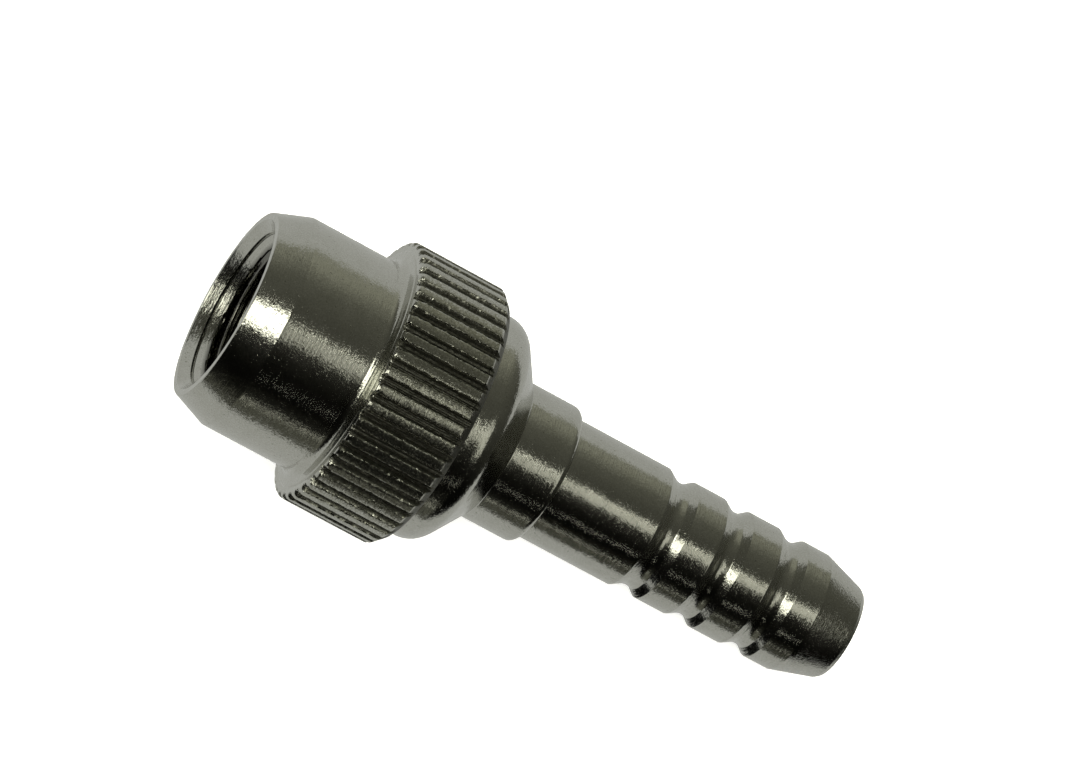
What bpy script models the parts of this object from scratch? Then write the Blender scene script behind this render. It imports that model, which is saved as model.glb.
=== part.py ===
"""Swivel hose coupling of a carbon dioxide diffuser.

A nickel-plated union nut turns freely on a barbed hose tail. The tail's head, inside the
nut, holds the diffusing cartridge: a porous disc with its seal and retainer, and behind it
a spring-loaded non-return valve.

The origin is the centre of the nut's mouth. +X runs along the coupling's axis towards the
barbed end. Outlines are (station along X, radius) pairs in millimetres.
"""

import math

import bmesh
import bpy

MM = 0.001

# Running and seating gaps, the break on turned edges, and how far cutters stand proud.
SWIVEL_GAP = 0.07
SEAT_GAP = 0.05
HEAD_GAP = 0.1
EDGE_BREAK = 0.1
END_BREAK = 0.2
OVERCUT = 0.4

# Female pipe thread G 1/4: 55 degree flanks, 19 threads to the inch.
THREAD_PITCH = 1.337
THREAD_FLANK = 27.5
THREAD_MAJOR_R = 6.5785
THREAD_MINOR_R = 5.7225
THREAD_CUT_START = -0.2
THREAD_CUT_END = 10.75
THREAD_END = 10.2
RELIEF_START = 10.8
RELIEF_END = 12.2
RELIEF_R = 6.8

# Plain counterbore between the countersunk rim and the thread.
COUNTERBORE_R = 6.62
COUNTERBORE_END = 1.0

# Union nut, outside.
RIM_INNER_R = 7.42
RIM_OUTER_R = 8.0
SLEEVE_R = 9.1
SLEEVE_START = 2.9
RING_FRONT = 10.85
RING_FILLET = 1.2
RING_ROUND = 0.8
KNURL_R = 11.3
KNURL_REAR = 18.6
RING_REAR = 19.3
RING_REAR_R = 10.6
KNURL_TEETH = 46
KNURL_DEPTH = 0.47
KNURL_GAP_WIDTH = 0.68
KNURL_FLOOR_WIDTH = 0.2
SHOULDER_R = 9.67
SHOULDER_ARC_START = 20.15
SHOULDER_ARC_R = 2.95
SHOULDER_SLOPE = 54.5
COLLAR_R = 5.92
COLLAR_FILLET = 0.55
COLLAR_END = 29.1
COLLAR_ROUND = 0.6

# Hose tail.
TUBE_R = 5.18
HEAD_R = 5.65
HEAD_FRONT = 11.35
CONE_SUM = 27.65
BORE_R = 3.0
VALVE_BORE_R = 3.3
CARTRIDGE_R = 4.3
CARTRIDGE_END = 17.0
VALVE_BORE_END = 29.0
BARB_GROOVES = 3
BARB_FIRST = 39.1
BARB_PITCH = 5.1
BARB_LAND_R = 5.13
BARB_FLOOR_R = 4.55
BARB_HOLLOW_R = 1.3
BARB_FRONT_SLOPE = 45.0
BARB_REAR_SLOPE = 31.0
LEAD_START = 52.6
LEAD_END = 56.15
LEAD_END_R = 4.05
TAIL_END = 56.5

# Wire ring that keeps the nut on the tail.
WIRE_STATION = 23.4
WIRE_R = 0.38
WIRE_RING_R = 5.13
WIRE_GROOVE_HALF = 0.45
TAIL_GROOVE_DEPTH = 0.5
NUT_GROOVE_DEPTH = 0.4
WIRE_OPENING = 24.0

# Cartridge in the tail's head.
WASHER_FRONT = 9.8
WASHER_INNER_R = 3.6
WASHER_OUTER_R = 5.6
RETAINER_FRONT = 11.6
RETAINER_END = 13.45
RETAINER_INNER_R = 3.3
SLOT_WIDTH = 1.2
SLOT_DEPTH = 0.6
DISC_FRONT = 13.5
DISC_END = 16.05
DISC_SEAL_STATION = 16.52
DISC_SEAL_R = 3.75
DISC_SEAL_SECTION_R = 0.4

# Non-return valve in the tail's bore.
GUIDE_FRONT = 19.6
GUIDE_END = 20.8
GUIDE_PORTS = 5
GUIDE_PORT_R = 0.65
GUIDE_PORT_CIRCLE_R = 2.1
STEM_R = 0.5
STEM_FRONT = 18.7
POPPET_FLANGE = 24.8
POPPET_GROOVE = 26.2
POPPET_NOSE = 26.9
POPPET_END = 27.7
POPPET_FLANGE_R = 2.1
POPPET_NOSE_LIP = 0.25
POPPET_NOSE_TAPER = 0.6
POPPET_SEAL_R = 1.85
POPPET_SEAL_SECTION_R = 0.3
SEAT_FRONT = 26.5
ORIFICE_R = 1.3
SPRING_R = 1.35
SPRING_WIRE_R = 0.18
SPRING_TURNS = 5.0

# Facets round each piece, and steps in one turn of the thread and of the spring.
NUT_SEGMENTS = KNURL_TEETH
TAIL_SEGMENTS = 36
SMALL_SEGMENTS = 24
THREAD_STEPS = 24
SPRING_STEPS = 18
WIRE_STEPS = 40

TURN = 2 * math.pi


def clear_scene():
    for obj in list(bpy.data.objects):
        bpy.data.objects.remove(obj, do_unlink=True)


def material(name, colour, metallic, roughness):
    made = bpy.data.materials.new(name)
    made.use_nodes = True
    shader = made.node_tree.nodes["Principled BSDF"]
    shader.inputs["Base Color"].default_value = (*colour, 1.0)
    shader.inputs["Metallic"].default_value = metallic
    shader.inputs["Roughness"].default_value = roughness
    return made


def make_object(name, bm, made_of, parent=None):
    """Turns the bmesh into an object with its faces outwards, smooth except at its edges."""
    bmesh.ops.recalc_face_normals(bm, faces=bm.faces)
    mesh = bpy.data.meshes.new(name)
    bm.to_mesh(mesh)
    bm.free()
    mesh.shade_smooth()
    mesh.set_sharp_from_angle(angle=math.radians(25))
    mesh.materials.append(made_of)
    obj = bpy.data.objects.new(name, mesh)
    bpy.context.scene.collection.objects.link(obj)
    obj.parent = parent
    return obj


def axis_empty(name, station, parent=None):
    empty = bpy.data.objects.new(name, None)
    bpy.context.scene.collection.objects.link(empty)
    empty.empty_display_size = 5 * MM
    empty.parent = parent
    empty.location.x = station * MM - (parent.location.x if parent else 0)
    return empty


def arc(centre, radius, start, end, steps):
    """Points on an arc in the (station, radius) plane. Angles are degrees from the station axis."""
    points = []
    for i in range(steps + 1):
        angle = math.radians(start + (end - start) * i / steps)
        points.append((centre[0] + radius * math.cos(angle), centre[1] + radius * math.sin(angle)))
    return points


def turned(outline, segments):
    """Spins an outline about X. A solid outline starts and ends on the axis; a ring's is a loop."""
    bm = bmesh.new()
    verts = [bm.verts.new((x * MM, 0, r * MM)) for x, r in outline]
    edges = [bm.edges.new(pair) for pair in zip(verts, verts[1:])]
    if outline[0][1] > 0:
        edges.append(bm.edges.new((verts[-1], verts[0])))
    bmesh.ops.spin(bm, geom=verts + edges, cent=(0, 0, 0), axis=(1, 0, 0), angle=TURN, steps=segments)
    bmesh.ops.remove_doubles(bm, verts=bm.verts, dist=1e-7)
    return bm


def swept(section, angles):
    """Sweeps section(angle), a loop of (station, radius) points, round X, and caps both ends."""
    bm = bmesh.new()
    loops = []
    for angle in angles:
        side, up = math.sin(angle), math.cos(angle)
        loops.append([bm.verts.new((x * MM, r * side * MM, r * up * MM)) for x, r in section(angle)])
    for near, far in zip(loops, loops[1:]):
        for i in range(len(near)):
            j = (i + 1) % len(near)
            bm.faces.new((near[i], near[j], far[j], far[i]))
    bm.faces.new(loops[0])
    bm.faces.new(reversed(loops[-1]))
    return bm


def evenly(start, end, steps):
    return [start + (end - start) * i / steps for i in range(steps + 1)]


def cutter(name, bm, made_of, target):
    """Makes the bmesh a hidden cutting tool, and takes it out of the target with a Boolean."""
    tool = make_object(name, bm, made_of, target.parent)
    tool.hide_render = True
    tool.display_type = "WIRE"
    cut = target.modifiers.new(name, "BOOLEAN")
    cut.operation = "DIFFERENCE"
    cut.solver = "EXACT"
    cut.object = tool


def nut_outline():
    slope = math.radians(SHOULDER_SLOPE)
    arc_centre = (SHOULDER_ARC_START, SHOULDER_R - SHOULDER_ARC_R)
    cone_start = (
        arc_centre[0] + SHOULDER_ARC_R * math.sin(slope),
        arc_centre[1] + SHOULDER_ARC_R * math.cos(slope),
    )
    # The collar's fillet touches both the shoulder's cone and the collar.
    fillet_r = COLLAR_R + COLLAR_FILLET
    cone_drop = cone_start[1] - (fillet_r - COLLAR_FILLET * math.cos(slope))
    fillet_x = cone_start[0] + cone_drop / math.tan(slope) + COLLAR_FILLET * math.sin(slope)
    bore_r = TUBE_R + SWIVEL_GAP
    head_bore_r = HEAD_R + HEAD_GAP
    groove_r = bore_r + NUT_GROOVE_DEPTH
    round_r = COLLAR_R - COLLAR_ROUND

    outside = [(0, RIM_INNER_R), (0, RIM_OUTER_R), (SLEEVE_START, SLEEVE_R)]
    outside += arc((RING_FRONT - RING_FILLET, SLEEVE_R + RING_FILLET), RING_FILLET, -90, 0, 3)
    front_r = outside[-1][1]
    # From the fillet's top a quarter ellipse leads on to the knurl.
    for angle in evenly(0, math.pi / 2, 3)[1:]:
        x = RING_FRONT + RING_ROUND * (1 - math.cos(angle))
        outside.append((x, front_r + (KNURL_R - front_r) * math.sin(angle)))
    outside += [(KNURL_REAR, KNURL_R), (RING_REAR, RING_REAR_R), (RING_REAR, SHOULDER_R)]
    outside += arc(arc_centre, SHOULDER_ARC_R, 90, 90 - SHOULDER_SLOPE, 4)
    outside += arc((fillet_x, fillet_r), COLLAR_FILLET, 270 - SHOULDER_SLOPE, 270, 2)
    outside += arc((COLLAR_END - COLLAR_ROUND, round_r), COLLAR_ROUND, 90, 0, 3)

    inside = [
        (COLLAR_END, bore_r),
        (WIRE_STATION + WIRE_GROOVE_HALF, bore_r),
        (WIRE_STATION + WIRE_GROOVE_HALF, groove_r),
        (WIRE_STATION - WIRE_GROOVE_HALF, groove_r),
        (WIRE_STATION - WIRE_GROOVE_HALF, bore_r),
        (CONE_SUM - bore_r, bore_r),
        (CONE_SUM - head_bore_r, head_bore_r),
        (RELIEF_END, head_bore_r),
        (RELIEF_END, RELIEF_R),
        (RELIEF_START, RELIEF_R),
        (THREAD_END, THREAD_MINOR_R),
        (COUNTERBORE_END + COUNTERBORE_R - THREAD_MINOR_R, THREAD_MINOR_R),
        (COUNTERBORE_END, COUNTERBORE_R),
        (RIM_INNER_R - COUNTERBORE_R, COUNTERBORE_R),
    ]
    return outside + inside


def thread_groove():
    """The thread's groove as one helical cutter, from the counterbore to the relief."""
    inner_r = THREAD_MINOR_R - OVERCUT / 4
    floor_half = THREAD_PITCH / 12
    mouth_half = floor_half + (THREAD_MAJOR_R - inner_r) * math.tan(math.radians(THREAD_FLANK))
    turns = (THREAD_CUT_END - THREAD_CUT_START) / THREAD_PITCH

    def section(angle):
        x = THREAD_CUT_START + THREAD_PITCH * angle / TURN
        return [
            (x - mouth_half, inner_r),
            (x - floor_half, THREAD_MAJOR_R),
            (x + floor_half, THREAD_MAJOR_R),
            (x + mouth_half, inner_r),
        ]

    return swept(section, evenly(0, turns * TURN, round(turns * THREAD_STEPS)))


def knurl_grooves():
    """All the grooves between the knurl's teeth, as straight prisms along X."""
    bm = bmesh.new()
    floor_r = KNURL_R - KNURL_DEPTH
    top_r = KNURL_R + OVERCUT
    floor_half = KNURL_FLOOR_WIDTH / 2
    slope = (KNURL_GAP_WIDTH - KNURL_FLOOR_WIDTH) / 2 / KNURL_DEPTH
    top_half = floor_half + slope * (top_r - floor_r)
    across = [(-floor_half, floor_r), (floor_half, floor_r), (top_half, top_r), (-top_half, top_r)]
    for tooth in range(KNURL_TEETH):
        turn = TURN * tooth / KNURL_TEETH
        side, up = math.sin(turn), math.cos(turn)
        ends = []
        for x in (RING_FRONT - OVERCUT, RING_REAR + OVERCUT):
            corners = [(y * up + z * side, z * up - y * side) for y, z in across]
            ends.append([bm.verts.new((x * MM, y * MM, z * MM)) for y, z in corners])
        near, far = ends
        for i in range(4):
            j = (i + 1) % 4
            bm.faces.new((near[i], near[j], far[j], far[i]))
        bm.faces.new(near)
        bm.faces.new(reversed(far))
    return bm


def tail_outline():
    hollow_centre_r = BARB_FLOOR_R + BARB_HOLLOW_R
    cone_sum = CONE_SUM - SEAT_GAP * math.sqrt(2)
    outside = [
        (HEAD_FRONT, CARTRIDGE_R),
        (HEAD_FRONT, HEAD_R),
        (cone_sum - HEAD_R, HEAD_R),
        (cone_sum - TUBE_R, TUBE_R),
        (WIRE_STATION - WIRE_GROOVE_HALF, TUBE_R),
        (WIRE_STATION - WIRE_GROOVE_HALF, TUBE_R - TAIL_GROOVE_DEPTH),
        (WIRE_STATION + WIRE_GROOVE_HALF, TUBE_R - TAIL_GROOVE_DEPTH),
        (WIRE_STATION + WIRE_GROOVE_HALF, TUBE_R),
    ]
    for groove in range(BARB_GROOVES):
        centre = (BARB_FIRST + groove * BARB_PITCH, hollow_centre_r)
        hollow = arc(centre, BARB_HOLLOW_R, 270 - BARB_REAR_SLOPE, 270 + BARB_FRONT_SLOPE, 4)
        edge_r = TUBE_R if groove == 0 else BARB_LAND_R
        back = (edge_r - hollow[0][1]) / math.tan(math.radians(BARB_REAR_SLOPE))
        ahead = (BARB_LAND_R - hollow[-1][1]) / math.tan(math.radians(BARB_FRONT_SLOPE))
        outside.append((hollow[0][0] - back, edge_r))
        outside += hollow
        outside.append((hollow[-1][0] + ahead, BARB_LAND_R))
    outside += [(LEAD_START, BARB_LAND_R), (LEAD_END, LEAD_END_R)]
    outside.append((TAIL_END, LEAD_END_R - END_BREAK))
    inside = [
        (TAIL_END, BORE_R + END_BREAK),
        (TAIL_END - END_BREAK, BORE_R),
        (VALVE_BORE_END, BORE_R),
        (VALVE_BORE_END, VALVE_BORE_R),
        (CARTRIDGE_END, VALVE_BORE_R),
        (CARTRIDGE_END, CARTRIDGE_R),
    ]
    return outside + inside


def o_ring(station, ring_r, section_r):
    return turned(arc((station, ring_r), section_r, 0, 315, 7), SMALL_SEGMENTS)


def wire_ring():
    """The snap ring: round wire bent to a circle, with an opening between its ends."""
    half_opening = math.radians(WIRE_OPENING / 2)
    loop = arc((WIRE_STATION, WIRE_RING_R), WIRE_R, 0, 315, 7)
    return swept(lambda angle: loop, evenly(half_opening, TURN - half_opening, WIRE_STEPS))


def spring():
    """A compression spring whose first and last turns lie flat."""
    start = GUIDE_END + SEAT_GAP + SPRING_WIRE_R
    end = POPPET_FLANGE - SEAT_GAP - SPRING_WIRE_R
    # The end turns lie beside each other, a little apart so that they don't merge.
    wire = 2 * SPRING_WIRE_R + SEAT_GAP / 2
    free = end - start - 2 * wire

    def station(turns):
        if turns < 1:
            return start + wire * turns
        if turns > SPRING_TURNS - 1:
            return end - wire * (SPRING_TURNS - turns)
        return start + wire + free * (turns - 1) / (SPRING_TURNS - 2)

    def section(angle):
        return arc((station(angle / TURN), SPRING_R), SPRING_WIRE_R, 0, 300, 5)

    return swept(section, evenly(0, SPRING_TURNS * TURN, round(SPRING_TURNS * SPRING_STEPS)))


def ring_outline(front, end, inner_r, outer_r):
    """A flat ring with its four edges broken at 45 degrees."""
    return [
        (front, inner_r + EDGE_BREAK),
        (front, outer_r - EDGE_BREAK),
        (front + EDGE_BREAK, outer_r),
        (end - EDGE_BREAK, outer_r),
        (end, outer_r - EDGE_BREAK),
        (end, inner_r + EDGE_BREAK),
        (end - EDGE_BREAK, inner_r),
        (front + EDGE_BREAK, inner_r),
    ]


def guide_ports():
    bm = bmesh.new()
    for port in range(GUIDE_PORTS):
        turn = TURN * port / GUIDE_PORTS
        made = bmesh.ops.create_cone(
            bm, cap_ends=True, segments=12, radius1=GUIDE_PORT_R * MM, radius2=GUIDE_PORT_R * MM,
            depth=(GUIDE_END - GUIDE_FRONT + 2 * OVERCUT) * MM,
        )
        for vert in made["verts"]:
            x, y, z = vert.co
            centre_y = GUIDE_PORT_CIRCLE_R * math.sin(turn) * MM
            centre_z = GUIDE_PORT_CIRCLE_R * math.cos(turn) * MM
            vert.co = ((GUIDE_FRONT + GUIDE_END) / 2 * MM + z, y + centre_y, x + centre_z)
    return bm


def spanner_slot():
    """A bar across the retainer's front face, which leaves two slots for a pin spanner."""
    bm = bmesh.new()
    made = bmesh.ops.create_cube(bm, size=1)
    for vert in made["verts"]:
        x, y, z = vert.co
        vert.co = (
            (RETAINER_FRONT + 2 * x * SLOT_DEPTH) * MM,
            y * SLOT_WIDTH * MM,
            3 * z * CARTRIDGE_R * MM,
        )
    return bm


def disc_outline():
    r = CARTRIDGE_R - HEAD_GAP
    return [
        (DISC_FRONT, 0),
        (DISC_FRONT, r - EDGE_BREAK),
        (DISC_FRONT + EDGE_BREAK, r),
        (DISC_END - EDGE_BREAK, r),
        (DISC_END, r - EDGE_BREAK),
        (DISC_END, 0),
    ]


def poppet_outline():
    groove_r = POPPET_SEAL_R - POPPET_SEAL_SECTION_R - SEAT_GAP
    return [
        (STEM_FRONT, 0),
        (STEM_FRONT, STEM_R - EDGE_BREAK),
        (STEM_FRONT + EDGE_BREAK, STEM_R),
        (POPPET_FLANGE, STEM_R),
        (POPPET_FLANGE, POPPET_FLANGE_R),
        (POPPET_GROOVE, POPPET_FLANGE_R),
        (POPPET_GROOVE, groove_r),
        (POPPET_NOSE, groove_r),
        (POPPET_NOSE, groove_r + POPPET_NOSE_LIP),
        (POPPET_END, groove_r - POPPET_NOSE_TAPER),
        (POPPET_END, 0),
    ]


def seat_outline():
    """The seat's cone runs at 45 degrees, just clear of the seal on the closed poppet."""
    seal_station = (POPPET_GROOVE + POPPET_NOSE) / 2
    touch = POPPET_SEAL_SECTION_R + SEAT_GAP
    cone_sum = seal_station + POPPET_SEAL_R + touch * math.sqrt(2)
    outer_r = VALVE_BORE_R - SEAT_GAP
    end = VALVE_BORE_END - SEAT_GAP
    return [
        (SEAT_FRONT, cone_sum - SEAT_FRONT),
        (SEAT_FRONT, outer_r),
        (end, outer_r),
        (end, ORIFICE_R),
        (cone_sum - ORIFICE_R, ORIFICE_R),
    ]


def build():
    clear_scene()
    nickel = material("nickel_plate", (0.55, 0.55, 0.48), 1.0, 0.25)
    steel = material("spring_steel", (0.6, 0.6, 0.6), 1.0, 0.3)
    rubber = material("black_rubber", (0.02, 0.02, 0.02), 0.0, 0.7)
    ceramic = material("sintered_ceramic", (0.82, 0.8, 0.75), 0.0, 0.9)
    acetal = material("white_acetal", (0.85, 0.85, 0.83), 0.0, 0.4)

    nut = make_object("union_nut", turned(nut_outline(), NUT_SEGMENTS), nickel)
    cutter("thread_groove", thread_groove(), nickel, nut)
    cutter("knurl_grooves", knurl_grooves(), nickel, nut)

    swivel = axis_empty("swivel_axis", 0)
    make_object("hose_tail", turned(tail_outline(), TAIL_SEGMENTS), nickel, swivel)
    make_object("retaining_wire", wire_ring(), steel, swivel)

    washer = ring_outline(WASHER_FRONT, HEAD_FRONT - SEAT_GAP, WASHER_INNER_R, WASHER_OUTER_R)
    make_object("face_washer", turned(washer, TAIL_SEGMENTS), rubber, swivel)

    outer_r = CARTRIDGE_R - SEAT_GAP
    retainer_ring = ring_outline(RETAINER_FRONT, RETAINER_END, RETAINER_INNER_R, outer_r)
    retainer = make_object("disc_retainer", turned(retainer_ring, TAIL_SEGMENTS), nickel, swivel)
    cutter("spanner_slot", spanner_slot(), nickel, retainer)

    make_object("diffuser_disc", turned(disc_outline(), TAIL_SEGMENTS), ceramic, swivel)
    disc_seal = o_ring(DISC_SEAL_STATION, DISC_SEAL_R, DISC_SEAL_SECTION_R)
    make_object("disc_seal", disc_seal, rubber, swivel)

    guide_inner_r = STEM_R + SWIVEL_GAP
    guide_ring = ring_outline(GUIDE_FRONT, GUIDE_END, guide_inner_r, VALVE_BORE_R - SEAT_GAP)
    guide = make_object("valve_guide", turned(guide_ring, SMALL_SEGMENTS), acetal, swivel)
    cutter("guide_ports", guide_ports(), acetal, guide)
    make_object("valve_seat", turned(seat_outline(), SMALL_SEGMENTS), acetal, swivel)
    make_object("valve_spring", spring(), steel, swivel)

    valve = axis_empty("valve_axis", 0, swivel)
    make_object("valve_poppet", turned(poppet_outline(), SMALL_SEGMENTS), acetal, valve)
    seal_station = (POPPET_GROOVE + POPPET_NOSE) / 2
    poppet_seal = o_ring(seal_station, POPPET_SEAL_R, POPPET_SEAL_SECTION_R)
    make_object("poppet_seal", poppet_seal, rubber, valve)


build()
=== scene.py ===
"""Looks of the swivel hose coupling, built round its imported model.

The nut, the hose tail and the face washer are fine lathe skins: rows of points along an outline,
columns round the axis. Outlines are (station along X, radius, corner rounding) in millimetres.
The stage is in metres.
"""

import math
from types import SimpleNamespace

import bmesh
import bpy
import numpy as np
from mathutils import Matrix, Vector


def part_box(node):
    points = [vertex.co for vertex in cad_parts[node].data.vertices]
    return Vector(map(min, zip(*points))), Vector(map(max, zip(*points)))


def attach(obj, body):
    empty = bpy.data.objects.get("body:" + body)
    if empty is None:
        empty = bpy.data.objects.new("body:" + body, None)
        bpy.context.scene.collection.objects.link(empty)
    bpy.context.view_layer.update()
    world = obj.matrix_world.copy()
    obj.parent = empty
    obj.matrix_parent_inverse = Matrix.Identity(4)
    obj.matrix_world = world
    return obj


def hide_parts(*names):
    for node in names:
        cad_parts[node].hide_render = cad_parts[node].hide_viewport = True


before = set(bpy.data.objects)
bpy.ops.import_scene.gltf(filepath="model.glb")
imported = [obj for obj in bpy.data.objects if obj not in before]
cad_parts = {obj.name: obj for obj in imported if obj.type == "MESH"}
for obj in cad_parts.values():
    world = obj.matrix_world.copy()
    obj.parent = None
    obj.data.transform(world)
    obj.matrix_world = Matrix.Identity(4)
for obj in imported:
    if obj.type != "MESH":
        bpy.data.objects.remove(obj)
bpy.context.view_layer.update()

MM = 0.001
TURN = 2 * math.pi

# Female pipe thread G 1/4, right-handed.
THREAD_PITCH = 1.337
THREAD_MAJOR_R = 6.5785
THREAD_MINOR_R = 5.7225
COUNTERBORE_R = 6.62
COUNTERBORE_END = 1.0
TOOL_MARK = 0.08
RUN_IN_START = 0.45
RUN_IN_END = 0.9
THREAD_END = 10.2
RELIEF_START = 10.8
RELIEF_END = 12.2
RELIEF_R = 6.8

# Union nut.
RIM_INNER_R = 7.42
RIM_OUTER_R = 8.0
SLEEVE_R = 9.1
SLEEVE_START = 2.9
RING_FRONT = 10.85
RING_EDGE_R = 10.3
RING_REAR = 19.3
RING_REAR_R = 10.6
KNURL_R = 11.27
KNURL_REAR = 18.6
KNURL_TEETH = 46
KNURL_DEPTH = 0.5
KNURL_SEED = 7
RING_STEP = 0.13
SHOULDER_R = 9.67
SHOULDER_CORNER = 21.67
SHOULDER_SLOPE = math.radians(54.5)
COLLAR_R = 5.92
COLLAR_END = 29.1
COLLAR_ROUND = 0.6
COLLAR_BORE_R = 5.25
HEAD_BORE_R = 5.75
CONE_SUM = 27.65

# One knurl tooth. Places across it are shares of the pitch, out from the middle of its crest, and
# heights are millimetres. DEPTH_SPREAD is the least and the most share of the depth that a tooth's
# grooves get. The wander, the tear, the depth and the roughness are random.
COLUMN_SHARES = [0.0, 0.11, 0.19, 0.225, 0.25, 0.275, 0.32, 0.365, 0.41, 0.46]
CREST_EDGE = 0.255
EDGE_WANDER = 0.016
EDGE_TEAR = 0.02
DEPTH_SPREAD = (0.88, 1.05)
FRONT_FLARE = 0.11
FRONT_FLARE_LENGTH = 0.25
FLOOR_EDGE = 0.37
RIDGE_EDGE = 0.4
RIDGE_WIDTH = 0.06
RIDGE_SHARE = 0.35
CREST_WEAR = 0.025
GROOVE_ROUGHNESS = 0.018

# Hose tail.
TUBE_R = 5.18
HEAD_R = 5.65
HEAD_FRONT = 11.35
CARTRIDGE_R = 4.3
CARTRIDGE_END = 17.0
VALVE_BORE_R = 3.3
VALVE_BORE_END = 29.0
BORE_R = 3.0
BARB_FIRST = 39.1
BARB_PITCH = 5.1
BARB_LAND_R = 5.13
BARB_FLOOR_R = 4.55
BARB_HOLLOW_R = 1.3
BARB_REAR_SLOPE = math.radians(31)
BARB_FACET_FROM = math.radians(22)
BARB_FACET_END = 1.12
LEAD_START = 52.6
LEAD_END = 56.15
LEAD_END_R = 4.05
TAIL_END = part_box("hose_tail")[1].x / MM

# Face washer.
WASHER_FRONT = 9.8
WASHER_REAR = 11.3
WASHER_INNER_R = 3.6
WASHER_OUTER_R = 5.6
WASHER_ROUND = 0.12

# The grooves that the retaining wire shares.
WIRE_STATION = 23.4
WIRE_GROOVE_HALF = 0.45
WIRE_GROOVE_DEPTH = 0.5

# How finely the skins are cut.
TAIL_COLUMNS = 288
SMALL_COLUMNS = 144
SUPPORT_FROM = 0.3
SUPPORT_AT = 0.03


# ---------------------------------------------------------------- shapes


def rounded(outline, steps=5):
    """The outline's points as an array, with each corner that has a rounding turned into an arc.

    steps is about how many segments a quarter turn gets.
    """
    points = [np.array(p[:2], float) for p in outline]
    roundings = [p[2] if len(p) > 2 else 0.0 for p in outline]
    made = []
    for i, (corner, rounding) in enumerate(zip(points, roundings)):
        before, after = points[i - 1], points[(i + 1) % len(points)]
        to_before = before - corner
        to_after = after - corner
        long_before, long_after = np.linalg.norm(to_before), np.linalg.norm(to_after)
        if rounding <= 0 or min(long_before, long_after) < 1e-9:
            made.append(corner)
            continue
        to_before /= long_before
        to_after /= long_after
        half = math.acos(np.clip(to_before @ to_after, -1, 1)) / 2
        if half > math.radians(89):
            made.append(corner)
            continue
        reach = min(rounding / math.tan(half), 0.48 * long_before, 0.48 * long_after)
        radius = reach * math.tan(half)
        inward = (to_before + to_after) / np.linalg.norm(to_before + to_after)
        centre = corner + inward * radius / math.sin(half)
        start = corner + to_before * reach - centre
        end = corner + to_after * reach - centre
        sweep = math.pi - 2 * half
        count = max(2, math.ceil(steps * sweep / (math.pi / 2)) + 1)
        for share in np.linspace(0, 1, count + 1):
            a = math.sin((1 - share) * sweep) / math.sin(sweep)
            b = math.sin(share * sweep) / math.sin(sweep)
            made.append(centre + a * start + b * end)
    return np.array(made)


def arc(centre, radius, start, end, steps):
    """Points of an arc between two angles, as (station, radius)."""
    angles = np.linspace(start, end, steps + 1)
    return [(centre[0] + radius * math.cos(a), centre[1] + radius * math.sin(a)) for a in angles]


def subdivided(points, longest):
    """Adds points so that no step along the outline is longer than the given length."""
    made = [points[0]]
    for a, b in zip(points, points[1:]):
        count = max(1, math.ceil(np.linalg.norm(b - a) / longest))
        made += [a + (b - a) * k / count for k in range(1, count + 1)]
    return np.array(made)


def lathe_rows(outline, angles):
    """(rows, columns, 2) array of station and radius, the same all the way round."""
    return np.repeat(outline[:, None, :], len(angles), axis=1)


def supported(outline):
    """Adds a point close to each end of every long step, so that shading stays flat in between."""
    made = [outline[0]]
    for a, b in zip(outline, outline[1:]):
        length = np.linalg.norm(b - a)
        if length > SUPPORT_FROM:
            near = SUPPORT_AT / length
            made += [a + (b - a) * near, b + (a - b) * near]
        made.append(b)
    return np.array(made)


def skin(name, rows, angles, material, body, node, seam=None):
    """A closed mesh from rows of (station, radius) that stands for its CAD node.

    seam says which row each row meets where the last column joins the first.
    """
    row_count, column_count = rows.shape[:2]
    x, r = rows[..., 0], rows[..., 1]
    co = np.stack([x, r * np.sin(angles), r * np.cos(angles)], axis=-1) * MM
    index = np.arange(row_count * column_count).reshape(row_count, column_count)
    across = np.roll(index, -1, axis=1).copy()
    if seam is not None:
        across[:, -1] = index[seam, 0]
    down, down_across = np.roll(index, -1, axis=0), np.roll(across, -1, axis=0)
    faces = np.stack([index, down, down_across, across], axis=-1).reshape(-1, 4)
    mesh = bpy.data.meshes.new(name)
    mesh.from_pydata(co.reshape(-1, 3), [], faces)
    bm = bmesh.new()
    bm.from_mesh(mesh)
    bmesh.ops.remove_doubles(bm, verts=bm.verts, dist=1e-7)
    bmesh.ops.recalc_face_normals(bm, faces=bm.faces)
    bm.to_mesh(mesh)
    bm.free()
    return piece_of(name, mesh, material, body, node)


def piece_of(name, mesh, material, body, node):
    """The mesh as a smooth piece that rides on its body and stands for its CAD node."""
    mesh.shade_smooth()
    mesh.set_sharp_from_angle(angle=math.radians(32))
    mesh.materials.append(material)
    piece = bpy.data.objects.new(name, mesh)
    bpy.context.scene.collection.objects.link(piece)
    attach(piece, body)
    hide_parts(node)
    return piece


def even_angles(columns):
    return np.arange(columns) * TURN / columns


def knurl_angles():
    """Column angles that follow the teeth, with each column's share of its tooth and its tooth."""
    shares = np.array([-s for s in reversed(COLUMN_SHARES[1:])] + COLUMN_SHARES)
    teeth = np.arange(KNURL_TEETH)
    angles = (teeth[:, None] + shares[None, :]) * TURN / KNURL_TEETH
    return angles.ravel(), np.tile(shares, KNURL_TEETH), np.repeat(teeth, len(shares))


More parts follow.
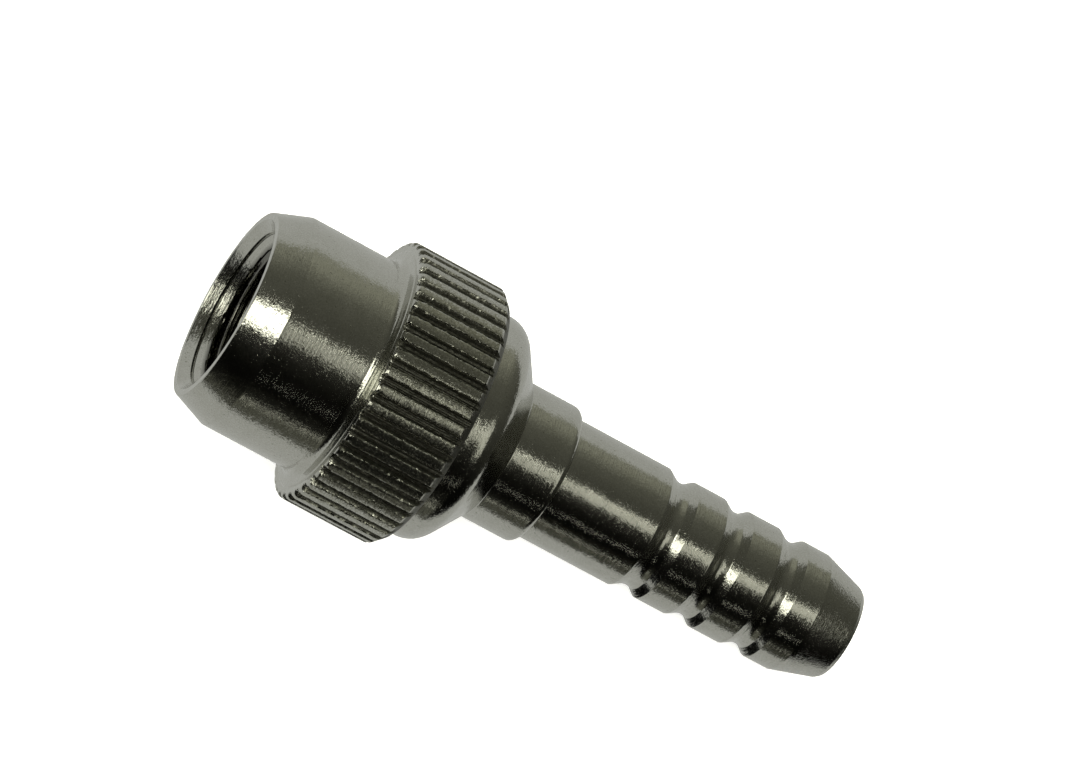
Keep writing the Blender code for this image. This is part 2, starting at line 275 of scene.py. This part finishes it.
def groove_depth(shares, teeth, stations):
    """How deep the knurl is below its crest: torn grooves with a low ridge along their floor."""
    rng = np.random.default_rng(KNURL_SEED)
    wide = rng.uniform(-EDGE_WANDER, EDGE_WANDER, (KNURL_TEETH, 2))
    deep = rng.uniform(*DEPTH_SPREAD, KNURL_TEETH)
    side = (shares > 0).astype(int)
    away = np.abs(shares)
    torn = rng.normal(0, EDGE_TEAR, (len(stations), KNURL_TEETH, 2))
    # The grooves open out where they run into the ring's rounded front.
    past_front = np.clip(stations - RING_FRONT - 0.3, 0, None)
    flare = FRONT_FLARE * np.exp(-past_front / FRONT_FLARE_LENGTH)
    edge = CREST_EDGE + wide[teeth, side] + torn[:, teeth, side] - flare[:, None]
    wall = np.clip((away - edge) / (FLOOR_EDGE - edge), 0, 1)
    ridge = RIDGE_SHARE * np.clip((away - RIDGE_EDGE) / RIDGE_WIDTH, 0, 1)
    cut = (wall - ridge) * deep[teeth] * KNURL_DEPTH
    worn = CREST_WEAR * (away / 0.25) ** 4 * (away <= 0.26)
    rough = rng.normal(0, GROOVE_ROUGHNESS, cut.shape) * (away > 0.27)
    return cut + worn + rough


def nut_outside():
    """The nut's outline from its inner rim, round the outside, to the collar's end."""
    cone_end = SHOULDER_CORNER + (SHOULDER_R - COLLAR_R) / math.tan(SHOULDER_SLOPE)
    collar_corner = (COLLAR_END - COLLAR_ROUND, COLLAR_R - COLLAR_ROUND)
    return rounded(
        [
            (0.0, RIM_INNER_R),
            (0.0, RIM_OUTER_R, 0.12),
            (SLEEVE_START, SLEEVE_R, 0.35),
            (RING_FRONT - 0.15, SLEEVE_R, 1.15),
            (RING_FRONT, RING_EDGE_R),
            (RING_FRONT + 0.08, RING_EDGE_R + 0.1),
            (RING_FRONT + 0.08, KNURL_R, 0.9),
            (KNURL_REAR, KNURL_R, 0.12),
            (RING_REAR, RING_REAR_R, 0.12),
            (RING_REAR, SHOULDER_R, 0.08),
            (SHOULDER_CORNER, SHOULDER_R, 2.95),
            (cone_end, COLLAR_R, 0.18),
            *arc(collar_corner, COLLAR_ROUND, math.pi / 2, 0, 9),
            (COLLAR_END, COLLAR_BORE_R),
        ],
        steps=9,
    )


def nut_inside():
    """From the collar's end, through the head's chamber and the relief, to the thread."""
    groove_r = COLLAR_BORE_R + 0.4
    before, after = WIRE_STATION - WIRE_GROOVE_HALF, WIRE_STATION + WIRE_GROOVE_HALF
    return np.array(
        [
            (after, COLLAR_BORE_R),
            (after, groove_r),
            (before, groove_r),
            (before, COLLAR_BORE_R),
            (CONE_SUM - COLLAR_BORE_R, COLLAR_BORE_R),
            (CONE_SUM - HEAD_BORE_R, HEAD_BORE_R),
            (RELIEF_END, HEAD_BORE_R),
            (RELIEF_END, RELIEF_R),
        ]
    )


def thread_profile():
    """One pitch of the thread as (share of the pitch, radius), groove floor first."""
    flank = math.tan(math.radians(27.5))
    depth = THREAD_MAJOR_R - THREAD_MINOR_R
    floor_half = 1 / 12
    crest_edge = floor_half + depth * flank / THREAD_PITCH
    floor = [(0.0, THREAD_MAJOR_R), (floor_half * 0.6, THREAD_MAJOR_R - 0.01)]
    floor.append((floor_half + 0.02, THREAD_MAJOR_R - 0.06))
    side = []
    for share in (0.2, 0.4, 0.6, 0.8, 0.94):
        width = floor_half + (crest_edge - floor_half) * share
        side.append((width, THREAD_MAJOR_R - depth * share))
    crest = [(crest_edge + 0.012, THREAD_MINOR_R + 0.008), (crest_edge + 0.03, THREAD_MINOR_R)]
    half = floor + side + crest
    return half + [(0.5, THREAD_MINOR_R)] + [(1 - u, r) for u, r in reversed(half[1:])]


def thread_rows(angles):
    """Rows that follow the helix from the counterbore to the relief, clamped at both ends.

    Returns the rows and how many of them make one turn.
    """
    profile = thread_profile()
    shares = np.array([u for u, _ in profile])
    radii = np.array([r for _, r in profile])
    turns = math.ceil((RELIEF_START - COUNTERBORE_END) / THREAD_PITCH) + 1
    steps = (np.arange(-1, turns)[:, None] + shares[None, :]).ravel()
    row_radii = np.tile(radii, turns + 1)
    lead = THREAD_PITCH * (steps[:, None] + angles[None, :] / TURN)
    x = np.clip(COUNTERBORE_END + lead, COUNTERBORE_END, RELIEF_START)
    r = np.repeat(row_radii[:, None], len(angles), axis=1)
    entry_cone = COUNTERBORE_R + COUNTERBORE_END - x
    # The tap's first teeth cut little: the groove reaches its depth past the entry cone.
    run_in = (x - COUNTERBORE_END - RUN_IN_START) / (RUN_IN_END - RUN_IN_START)
    run_in = np.clip(run_in, 0, 1)
    r = THREAD_MINOR_R + (r - THREAD_MINOR_R) * run_in
    exit_slope = (RELIEF_R - THREAD_MINOR_R) / (RELIEF_START - THREAD_END)
    exit_cone = THREAD_MINOR_R + (x - THREAD_END) * exit_slope
    r = np.maximum(np.maximum(r, entry_cone), exit_cone)
    r = np.where(x <= COUNTERBORE_END, COUNTERBORE_R, r)
    r = np.where(x >= RELIEF_START, RELIEF_R, r)
    return np.stack([x, r], axis=-1), len(profile)


def counterbore():
    """From the thread's first turn to the rim's countersink, with the tool's mark between them."""
    corner = RIM_INNER_R - COUNTERBORE_R
    mark_r = COUNTERBORE_R + TOOL_MARK
    outline = [
        (corner + 0.14, COUNTERBORE_R),
        (corner + 0.12, mark_r),
        (corner, mark_r),
        (corner - 0.06, mark_r - 0.02),
        (0.04, RIM_INNER_R - 0.03),
    ]
    return supported(np.array(outline))


def make_nut(material):
    """The nut's skin: outside, knurled ring, inside and thread, as one closed grid."""
    angles, shares, teeth = knurl_angles()
    outside = supported(nut_outside())
    on_ring = (outside[:, 0] > RING_FRONT - 0.01) & (outside[:, 0] < RING_REAR)
    first, last = np.flatnonzero(on_ring)[[0, -1]]
    ring = subdivided(outside[first : last + 1], RING_STEP)
    ring_rows = lathe_rows(ring, angles)
    depth = groove_depth(shares, teeth, ring[:, 0])
    ring_rows[..., 1] = np.minimum(ring_rows[..., 1], KNURL_R - depth)
    # The rows run from the mouth round the outside and back, so the helix comes last, reversed.
    helix, helix_step = thread_rows(angles)
    parts = [lathe_rows(outside[:first], angles), ring_rows]
    parts += [lathe_rows(outside[last + 1 :], angles), lathe_rows(nut_inside(), angles)]
    parts += [helix[::-1], lathe_rows(counterbore(), angles)]
    rows = np.concatenate(parts)
    helix_start = sum(len(part) for part in parts[:4])
    helix_end = helix_start + len(helix)
    seam = np.arange(len(rows))
    seam[helix_start:helix_end] = np.maximum(seam[helix_start:helix_end] - helix_step, helix_start)
    skin("union_nut_skin", rows, angles, material, "nut", "union_nut", seam)


def tail_outline():
    """The tail's outline from its head, over the barbs, to the end, and back along its bores."""
    cone_sum = CONE_SUM - 0.07
    groove_r = TUBE_R - WIRE_GROOVE_DEPTH
    before, after = WIRE_STATION - WIRE_GROOVE_HALF, WIRE_STATION + WIRE_GROOVE_HALF
    outline = [
        (HEAD_FRONT, CARTRIDGE_R, 0.08),
        (HEAD_FRONT, HEAD_R, 0.15),
        (cone_sum - HEAD_R, HEAD_R, 0.05),
        (cone_sum - TUBE_R, TUBE_R),
        (before, TUBE_R),
        (before, groove_r),
        (after, groove_r),
        (after, TUBE_R),
    ]
    for groove in range(3):
        centre = (BARB_FIRST + groove * BARB_PITCH, BARB_FLOOR_R + BARB_HOLLOW_R)
        down = 1.5 * math.pi
        hollow = arc(centre, BARB_HOLLOW_R, down - BARB_REAR_SLOPE, down + BARB_FACET_FROM, 14)
        edge_r = TUBE_R if groove == 0 else BARB_LAND_R
        back = (edge_r - hollow[0][1]) / math.tan(BARB_REAR_SLOPE)
        outline.append((hollow[0][0] - back, edge_r, 0.12))
        outline += hollow
        outline.append((centre[0] + BARB_FACET_END, BARB_LAND_R, 0.09))
    outline += [
        (LEAD_START, BARB_LAND_R, 0.12),
        (LEAD_END, LEAD_END_R, 0.25),
        (TAIL_END, LEAD_END_R - 0.25, 0.1),
        (TAIL_END, BORE_R + 0.3, 0.05),
        (TAIL_END - 0.3, BORE_R, 0.1),
        (VALVE_BORE_END, BORE_R),
        (VALVE_BORE_END, VALVE_BORE_R),
        (CARTRIDGE_END, VALVE_BORE_R),
        (CARTRIDGE_END, CARTRIDGE_R),
    ]
    return supported(rounded(outline))


# ---------------------------------------------------------------- materials

# The painted shade on the thread, in millimetres from the mouth, and the depth of the plate's marks
# in metres.
MOUTH_SHADE_START = 1.35
MOUTH_SHADE_FULL = 1.6
PLATE_RELIEF = 0.000009


class Nodes:
    """A short way to write a node tree."""

    def __init__(self, name):
        self.material = bpy.data.materials.new(name)
        self.material.use_nodes = True
        self.tree = self.material.node_tree
        self.shader = self.tree.nodes["Principled BSDF"]

    def add(self, kind, inputs=None, **settings):
        node = self.tree.nodes.new(kind)
        for key, value in settings.items():
            setattr(node, key, value)
        for key, value in (inputs or {}).items():
            self.put(node.inputs[key], value)
        return node

    def put(self, socket, value):
        if isinstance(value, bpy.types.NodeSocket):
            self.tree.links.new(value, socket)
        else:
            socket.default_value = value

    def math(self, operation, a, b=0.0, c=0.0):
        node = self.add("ShaderNodeMath", {0: a, 1: b, 2: c}, operation=operation)
        return node.outputs[0]

    def ramp(self, value, low, high, to_low=0.0, to_high=1.0):
        ends = {"From Min": low, "From Max": high, "To Min": to_low, "To Max": to_high}
        node = self.add("ShaderNodeMapRange", {"Value": value, **ends}, clamp=True)
        return node.outputs["Result"]

    def mix(self, share, a, b):
        node = self.add("ShaderNodeMix", data_type="RGBA")
        self.put(node.inputs["Factor"], share)
        self.put(node.inputs["A"], a)
        self.put(node.inputs["B"], b)
        return node.outputs["Result"]

    def noise(self, vector, scale, detail=3.0, roughness=0.5):
        node = self.add(
            "ShaderNodeTexNoise",
            {"Vector": vector, "Scale": scale, "Detail": detail, "Roughness": roughness},
        )
        return node.outputs["Fac"]

    def vector(self, operation, a, b=(0.0, 0.0, 0.0)):
        return self.add("ShaderNodeVectorMath", {0: a, 1: b}, operation=operation)

    def scaled(self, vector, along, across):
        """The object's coordinates scaled along and across its axis."""
        return self.vector("MULTIPLY", vector, (along, across, across)).outputs[0]

    def faceted(self, normal, vector, share, most_tilt):
        """Tilts small cells of the surface at random, more where share is high."""
        cells = self.add("ShaderNodeTexVoronoi", {"Vector": self.scaled(vector, 10500.0, 7200.0)})
        cells.inputs["Scale"].default_value = 1.0
        most = self.math("MULTIPLY", self.math("MULTIPLY_ADD", share, 0.5, 0.5), most_tilt)
        tilt = self.vector("SUBTRACT", cells.outputs["Color"], (0.5, 0.5, 0.5))
        tilt = self.add(
            "ShaderNodeVectorMath", {0: tilt.outputs[0], "Scale": most}, operation="SCALE"
        )
        total = self.vector("ADD", normal, tilt.outputs[0])
        return self.vector("NORMALIZE", total.outputs[0]).outputs[0]

    def bump(self, height, distance):
        node = self.add("ShaderNodeBump", {"Height": height, "Distance": distance})
        return node.outputs["Normal"]


def plated(n, place):
    """Turned brass under nickel plate: turning lines round the axis, fine pits, dulled spots."""
    lines = n.noise(n.scaled(place, 9000.0, 900.0), 1.0, 1.0, 0.5)
    fine_lines = n.noise(n.scaled(place, 16000.0, 160.0), 1.0, 1.0, 0.5)
    grain = n.noise(place, 9500.0, 1.0, 0.5)
    blotch = n.noise(place, 620.0, 3.0, 0.55)
    patch = n.ramp(n.noise(place, 1300.0, 2.0, 0.6), 0.4, 0.65)
    pits = n.ramp(n.noise(place, 4300.0, 1.0, 0.5), 0.7, 0.76)
    specks = n.ramp(n.noise(n.scaled(place, 8000.0, 6500.0), 1.0, 1.0, 0.5), 0.68, 0.76)
    tint = n.mix(blotch, (0.5, 0.5, 0.45, 1), (0.62, 0.62, 0.58, 1))
    tint = n.mix(n.ramp(grain, 0.35, 0.65, 0.28, 0.0), tint, (0.3, 0.3, 0.24, 1))
    tint = n.mix(n.math("MULTIPLY", pits, 0.5), tint, (0.2, 0.2, 0.15, 1))
    rough = n.math("MULTIPLY_ADD", grain, 0.1, 0.06)
    rough = n.math("MULTIPLY_ADD", blotch, 0.06, rough)
    coarse = n.math("MULTIPLY_ADD", lines, 1.0, n.math("MULTIPLY", grain, 0.7))
    coarse = n.math("MULTIPLY_ADD", specks, 0.3, coarse)
    coarse = n.math("MULTIPLY", coarse, n.math("MULTIPLY_ADD", patch, 0.6, 0.7))
    height = n.math("MULTIPLY_ADD", fine_lines, 0.4, coarse)
    height = n.math("MULTIPLY_ADD", pits, -0.6, height)
    return SimpleNamespace(
        tint=tint, rough=rough, height=height, coarse=coarse, patch=patch, specks=specks
    )


def paint_mouth_shade(n, plate, along, radius):
    """Painted shade on the thread, from its first turn to the relief: the colour is darkened for
    the shade deep in the mouth.
    """
    inside = n.math("LESS_THAN", radius, (COUNTERBORE_R - 0.02) * MM)
    inside = n.math("MULTIPLY", inside, n.ramp(along, MOUTH_SHADE_START * MM, MOUTH_SHADE_FULL * MM))
    inside = n.math("MULTIPLY", inside, n.math("LESS_THAN", along, RELIEF_END * MM))
    # Painted shade: the thread's colour is darkened almost to black, standing in for the shade
    # inside the mouth.
    plate.tint = n.mix(n.math("MULTIPLY", inside, 0.7), plate.tint, (0.04, 0.04, 0.03, 1))


def roughen_ring(n, plate, place, along, radius):
    """A grainier knurled ring with dull patches and bright specks, and painted shade in its
    grooves.

    Returns the share of the ring at each point.
    """
    in_groove = n.ramp(radius, (KNURL_R - 0.08) * MM, (KNURL_R - 0.22) * MM)
    on_ring = n.ramp(along, (RING_FRONT + 0.2) * MM, (RING_FRONT + 0.5) * MM)
    on_ring = n.math("MULTIPLY", on_ring, n.math("LESS_THAN", along, RING_REAR * MM))
    in_groove = n.math("MULTIPLY", in_groove, on_ring)
    ring_coarse = n.math("MULTIPLY", plate.coarse, on_ring)
    groove_coarse = n.math("MULTIPLY", plate.coarse, in_groove)
    plate.height = n.math("MULTIPLY_ADD", ring_coarse, -0.25, plate.height)
    plate.height = n.math("MULTIPLY_ADD", groove_coarse, 1.5, plate.height)
    plate.rough = n.math("MULTIPLY_ADD", on_ring, 0.09, plate.rough)
    plate.rough = n.math("MULTIPLY_ADD", in_groove, 0.22, plate.rough)
    dull = n.ramp(n.noise(n.scaled(place, 7500.0, 9500.0), 1.0, 1.0, 0.5), 0.42, 0.56)
    tint = n.mix(n.math("MULTIPLY", on_ring, dull), plate.tint, (0.36, 0.36, 0.3, 1))
    tint = n.mix(n.math("MULTIPLY", on_ring, plate.specks), tint, (0.95, 0.95, 0.85, 1))
    # Painted shade: the groove floors are darkened, standing in for the shade in the knurl's
    # grooves.
    plate.tint = n.mix(n.math("MULTIPLY", in_groove, 0.7), tint, (0.06, 0.06, 0.045, 1))
    return on_ring


def scuff(n, plate, place, along, start):
    """Scratches and wear from the given station on."""
    scratches = n.noise(place, 2600.0, 6.0, 0.75)
    worn = n.ramp(along, start * MM, (start + 0.5) * MM)
    plate.height = n.math("MULTIPLY_ADD", n.math("MULTIPLY", scratches, worn), 2.5, plate.height)
    plate.rough = n.math("MULTIPLY_ADD", worn, 0.06, plate.rough)


def nickel(name, tilt, scuffed_from=None, knurled=False):
    """The plated metal of the nut, which is knurled, or of the tail, which is scuffed at its end.

    tilt is how far, in radians, one grain of the surface may lean away from its neighbours.
    """
    n = Nodes(name)
    place = n.add("ShaderNodeTexCoord").outputs["Object"]
    along = n.add("ShaderNodeSeparateXYZ", {0: place}).outputs["X"]
    plate = plated(n, place)
    most_tilt = tilt
    if knurled:
        radius = n.vector("LENGTH", n.scaled(place, 0.0, 1.0)).outputs["Value"]
        paint_mouth_shade(n, plate, along, radius)
        on_ring = roughen_ring(n, plate, place, along, radius)
        most_tilt = n.math("MULTIPLY_ADD", on_ring, 2.0 * tilt, tilt)
    if scuffed_from is not None:
        scuff(n, plate, place, along, scuffed_from)
    normal = n.faceted(n.bump(plate.height, PLATE_RELIEF), place, plate.patch, most_tilt)
    n.put(n.shader.inputs["Base Color"], plate.tint)
    n.put(n.shader.inputs["Roughness"], plate.rough)
    n.put(n.shader.inputs["Normal"], normal)
    n.shader.inputs["Metallic"].default_value = 1.0
    n.shader.inputs["Anisotropic"].default_value = 0.35
    tangent = n.add("ShaderNodeTangent", direction_type="RADIAL", axis="X")
    n.put(n.shader.inputs["Tangent"], tangent.outputs[0])
    return n.material


def wire_steel():
    """Drawn spring steel."""
    n = Nodes("spring_steel")
    place = n.add("ShaderNodeTexCoord").outputs["Object"]
    drawn = n.noise(place, 9000.0, 4.0, 0.6)
    tint = n.mix(drawn, (0.5, 0.5, 0.49, 1), (0.66, 0.66, 0.65, 1))
    n.put(n.shader.inputs["Base Color"], tint)
    n.put(n.shader.inputs["Roughness"], n.math("MULTIPLY_ADD", drawn, 0.2, 0.18))
    n.put(n.shader.inputs["Normal"], n.bump(drawn, 0.000003))
    n.shader.inputs["Metallic"].default_value = 1.0
    return n.material


def moulded(name, dark, light, rough, grain_scale, depth):
    """A moulded or sintered material: speckled colour, and a grain of the given scale and depth."""
    n = Nodes(name)
    place = n.add("ShaderNodeTexCoord").outputs["Object"]
    grain = n.noise(place, grain_scale, 4.0, 0.65)
    cloud = n.noise(place, grain_scale / 12, 2.0, 0.5)
    share = n.math("MULTIPLY_ADD", grain, 0.6, n.math("MULTIPLY", cloud, 0.4))
    n.put(n.shader.inputs["Base Color"], n.mix(n.ramp(share, 0.3, 0.7), dark, light))
    n.put(n.shader.inputs["Roughness"], n.math("MULTIPLY_ADD", grain, 0.2, rough - 0.1))
    n.put(n.shader.inputs["Normal"], n.bump(grain, depth))
    return n.material


# ---------------------------------------------------------------- stage

# The camera's lengths are in millimetres. AIM_RIGHT and AIM_UP move the picture's middle away from
# the axis, in the picture's own directions.
CAMERA_SENSOR = 36.0
CAMERA_DISTANCE = 560.0
FRAME_WIDTH = 84.25
FRAME_TILT = math.radians(15.0)
AXIS_FALL = math.radians(28.46)
AIM_STATION = 23.07
AIM_RIGHT = 4.596
AIM_UP = 3.91

# The floor leans so that the last barb rests on it. The knurled ring's rear edge is 0.4 mm into it.
FLOOR_TILT = math.radians(9.6)
FLOOR_HALF = 2.0
FLOOR_TOUCH = 15.0

# The far card is so far below that each facing of the metal sees one part of it. Faces that lean
# both to the mouth and to -Y see past its slanted edge, and are dark. The near card lies right
# under the nut's front half, and lights the same faces of the mouth and of the ring.
CARD_GLOW = (0.52, 0.525, 0.5)
FAR_Z = -1.0
FAR_CORNERS = [(0.22, -0.03), (-2.35, -5.7), (4.0, -5.7), (4.0, 5.7), (-4.0, 5.7), (-4.0, -0.03)]
NEAR_Z = -0.013
NEAR_CORNERS = [(-0.085, -0.1), (0.014, -0.1), (0.014, 0.1), (-0.085, 0.1)]

# Lights that face straight down: two (x, y) corners, height, and power in watts for each square
# metre. The overhead light lights the floor, and only the others show in the metal.
LAMP_TINT = (1.0, 1.0, 0.86)
LAMP_HEIGHT = 0.55
OVERHEAD = ("overhead", (-0.4, -0.1), (0.2, 0.5), 0.7, 25.0)
PANELS = [
    ("mouth_light", (-0.4, -0.05), (-0.17, 0.2), LAMP_HEIGHT, 12.0),
    ("sleeve_light", (-0.17, -0.02), (0.15, 0.13), LAMP_HEIGHT, 0.95),
    ("tail_light", (0.15, -0.03), (0.45, 0.12), LAMP_HEIGHT, 2.2),
    ("tail_edge", (-0.05, 0.12), (0.22, 0.13), LAMP_HEIGHT, 15.0),
    ("far_light", (0.3, -0.16), (0.55, 0.22), LAMP_HEIGHT, 2.0),
    ("streak_light", (0.24, -0.6), (0.6, -0.588), LAMP_HEIGHT, 5.0),
]

# Lights at the sides: centre, turn, width, depth and power in watts for each square metre. The
# lamp faces +Y, and the window faces +X.
SIDE_LIGHTS = [
    ("side_lamp", (0.17, -0.6, 0.13), (math.pi / 2, 0, 0), 0.14, 0.02, 2.5),
    ("window", (-0.45, 0.0, 0.29), (0, -math.pi / 2, 0), 0.38, 0.17, 8.0),
]

# Brightness of the studio's walls by how far a reflection leans to +Y, from -1 to 1.
WALL_TONES = [
    (-0.98, 0.12), (-0.93, 0.014), (-0.84, 0.002), (-0.55, 0.003), (-0.3, 0.012),
    (0.0, 0.04), (0.55, 0.08), (0.84, 0.118), (0.93, 0.2), (0.97, 0.32),
]
WALL_TINT = (1.0, 1.0, 0.8)
BACKDROP = (0.93, 0.93, 0.92, 1)


def picture_axes():
    """Right, up and back of the camera, as unit vectors in the row frame."""
    back = Vector((-math.sin(FRAME_TILT), 0, math.cos(FRAME_TILT)))
    along = Vector((math.cos(FRAME_TILT), 0, math.sin(FRAME_TILT)))
    side = back.cross(along)
    right = math.cos(AXIS_FALL) * along + math.sin(AXIS_FALL) * side
    up = -math.sin(AXIS_FALL) * along + math.cos(AXIS_FALL) * side
    return right, up, back


def make_camera():
    """A long lens that looks across the coupling, a little into its mouth."""
    right, up, back = picture_axes()
    data = bpy.data.cameras.new("camera")
    data.lens = CAMERA_SENSOR * CAMERA_DISTANCE / FRAME_WIDTH
    data.sensor_width = CAMERA_SENSOR
    data.clip_start = 0.01
    data.clip_end = 10
    aim = Vector((AIM_STATION * MM, 0, 0)) + right * AIM_RIGHT * MM + up * AIM_UP * MM
    camera = bpy.data.objects.new("camera", data)
    turn = Matrix((right, up, back)).transposed().to_4x4()
    camera.matrix_world = Matrix.Translation(aim + back * CAMERA_DISTANCE * MM) @ turn
    bpy.context.scene.collection.objects.link(camera)
    bpy.context.scene.camera = camera


def flat(name, corners, material):
    """A flat face of the stage from its corners in metres. It isn't part of the object."""
    mesh = bpy.data.meshes.new(name)
    mesh.from_pydata([tuple(corner) for corner in corners], [], [range(len(corners))])
    mesh.materials.append(material)
    obj = bpy.data.objects.new(name, mesh)
    bpy.context.scene.collection.objects.link(obj)
    return obj


def matt(name, colour, glow_colour):
    """A dull surface of one colour that also shines a little, so that no shadow on it is dark."""
    made = bpy.data.materials.new(name)
    made.use_nodes = True
    shader = made.node_tree.nodes["Principled BSDF"]
    shader.inputs["Base Color"].default_value = (*colour, 1)
    shader.inputs["Roughness"].default_value = 0.9
    shader.inputs["Specular IOR Level"].default_value = 0.0
    shader.inputs["Emission Color"].default_value = (*glow_colour, 1)
    shader.inputs["Emission Strength"].default_value = 1.0
    return made


def area_light(name, centre, turn, wide, deep, glow):
    """A flat light. glow is its power in watts for each square metre."""
    data = bpy.data.lights.new(name, "AREA")
    data.shape = "RECTANGLE"
    data.size = wide
    data.size_y = deep
    data.energy = glow * wide * deep
    data.color = LAMP_TINT
    light = bpy.data.objects.new(name, data)
    light.location = centre
    light.rotation_euler = turn
    bpy.context.scene.collection.objects.link(light)
    return light


def panel(name, low, high, height, glow):
    """A light facing straight down, between two (x, y) corners."""
    centre = ((low[0] + high[0]) / 2, (low[1] + high[1]) / 2, height)
    return area_light(name, centre, (0, 0, 0), high[0] - low[0], high[1] - low[1], glow)


def shown_in_gloss_only(obj):
    """Leaves the object out of everything but reflections."""
    obj.visible_camera = False
    obj.visible_diffuse = False
    obj.visible_shadow = False


def make_floor():
    """A pale floor under the coupling, which reflections leave out."""
    touch = Vector((FLOOR_TOUCH * MM, 0, -(KNURL_R + 0.05) * MM / math.cos(FLOOR_TILT)))
    along = Vector((math.cos(FLOOR_TILT), 0, math.sin(FLOOR_TILT))) * FLOOR_HALF
    side = Vector((0, FLOOR_HALF, 0))
    corners = [touch + along * a + side * b for a, b in ((-1, -1), (1, -1), (1, 1), (-1, 1))]
    floor = flat("floor", corners, matt("floor_paint", (0.9, 0.9, 0.9), (0.7, 0.7, 0.69)))
    floor.visible_glossy = False


def make_stage():
    """The floor, the cards and lights that the metal reflects, and the studio's walls."""
    make_floor()
    card_paint = matt("card_paint", (0, 0, 0), CARD_GLOW)
    for name, outline, z in (("far_card", FAR_CORNERS, FAR_Z), ("near_card", NEAR_CORNERS, NEAR_Z)):
        shown_in_gloss_only(flat(name, [(x, y, z) for x, y in outline], card_paint))
    panel(*OVERHEAD).visible_glossy = False
    for row in PANELS:
        panel(*row)
    for row in SIDE_LIGHTS:
        area_light(*row)
    make_world()
    bpy.context.scene.view_settings.view_transform = "Standard"


def make_world():
    """Dim walls that only reflections see, darker towards -Y, behind a pale backdrop."""
    world = bpy.data.worlds.new("studio")
    world.use_nodes = True
    tree = world.node_tree
    background = tree.nodes["Background"]
    coords = tree.nodes.new("ShaderNodeTexCoord")
    split = tree.nodes.new("ShaderNodeSeparateXYZ")
    tree.links.new(coords.outputs["Generated"], split.inputs[0])
    share = tree.nodes.new("ShaderNodeMapRange")
    share.inputs["From Min"].default_value = -1
    tree.links.new(split.outputs["Y"], share.inputs["Value"])
    walls = tree.nodes.new("ShaderNodeValToRGB")
    tree.links.new(share.outputs["Result"], walls.inputs[0])
    stops = walls.color_ramp.elements
    while len(stops) < len(WALL_TONES):
        stops.new(0.5)
    for stop, (lean, tone) in zip(stops, WALL_TONES):
        stop.position = (lean + 1) / 2
        stop.color = (*(tone * c for c in WALL_TINT), 1)
    path = tree.nodes.new("ShaderNodeLightPath")
    mix = tree.nodes.new("ShaderNodeMix")
    mix.data_type = "RGBA"
    tree.links.new(path.outputs["Is Camera Ray"], mix.inputs["Factor"])
    tree.links.new(walls.outputs["Color"], mix.inputs["A"])
    mix.inputs["B"].default_value = BACKDROP
    tree.links.new(mix.outputs["Result"], background.inputs["Color"])
    bpy.context.scene.world = world


# ---------------------------------------------------------------- making


def lathe_piece(name, outline, material, body, node, columns=SMALL_COLUMNS):
    angles = even_angles(columns)
    return skin(name, lathe_rows(outline, angles), angles, material, body, node)


def ring_outline(front, end, inner_r, outer_r, rounding):
    """The outline of a plain ring between two stations."""
    corners = [(front, inner_r), (front, outer_r), (end, outer_r), (end, inner_r)]
    return rounded([(x, r, rounding) for x, r in corners])


def recolour(node, material):
    """Gives a CAD node that stays a better material."""
    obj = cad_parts[node]
    obj.data.materials.clear()
    obj.data.materials.append(material)


def make_pieces():
    """Materials, the three skins, and better looks for the CAD nodes that stay."""
    bright = nickel("nickel_plate_nut", 0.07, knurled=True)
    scuffed = nickel("nickel_plate_tail", 0.07, scuffed_from=LEAD_START)
    steel = wire_steel()
    rubber = moulded(
        "black_rubber", (0.012, 0.012, 0.012, 1), (0.03, 0.03, 0.03, 1), 0.6, 9000.0, 4e-6
    )
    ceramic = moulded(
        "sintered_disc", (0.55, 0.53, 0.48, 1), (0.86, 0.84, 0.79, 1), 0.9, 5200.0, 2e-5
    )
    acetal = moulded(
        "white_acetal", (0.78, 0.78, 0.75, 1), (0.88, 0.88, 0.86, 1), 0.4, 6000.0, 2e-6
    )
    make_nut(bright)
    tail = tail_outline()
    lathe_piece(
        "hose_tail_skin", tail, scuffed, "tail", "hose_tail", TAIL_COLUMNS
    )
    washer = ring_outline(WASHER_FRONT, WASHER_REAR, WASHER_INNER_R, WASHER_OUTER_R, WASHER_ROUND)
    lathe_piece("face_washer_skin", washer, rubber, "tail", "face_washer")
    recolour("disc_retainer", bright)
    recolour("diffuser_disc", ceramic)
    for node in ("disc_seal", "poppet_seal"):
        recolour(node, rubber)
    for node in ("retaining_wire", "valve_spring"):
        recolour(node, steel)
    for node in ("valve_guide", "valve_seat", "valve_poppet"):
        recolour(node, acetal)


make_camera()
make_pieces()
make_stage()
